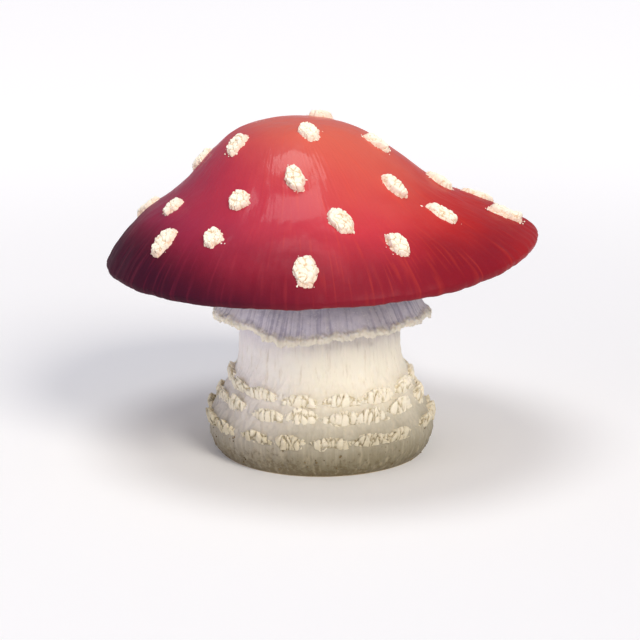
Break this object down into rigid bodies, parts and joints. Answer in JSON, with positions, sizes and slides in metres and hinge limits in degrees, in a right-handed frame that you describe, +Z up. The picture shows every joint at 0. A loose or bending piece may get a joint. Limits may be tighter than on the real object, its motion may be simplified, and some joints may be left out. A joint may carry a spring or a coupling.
{
  "type": "fly agaric mushroom",
  "caption": "Fly agaric mushroom with a red warted cap, pale gills, a hanging ring and a stout stem whose bulb is cut flat to stand on.",
  "frame": {"origin": "middle of the flat cut under the bulb, which the mushroom stands on", "axes": "+Z up along the stem, +X to the right across the higher side of the tilted cap, -Y towards the viewer of the picture"},
  "size_m": [0.111, 0.1088, 0.0879],
  "materials": {
    "cap_skin": "satin",
    "wart": "matte",
    "gill": "matte",
    "ring_veil": "matte",
    "stem_flesh": "matte"
  },
  "bodies": {
    "root": {"cap": "cap_skin", "gills": "gill", "ring": "ring_veil", "stem": "stem_flesh"}
  },
  "joints": []
}
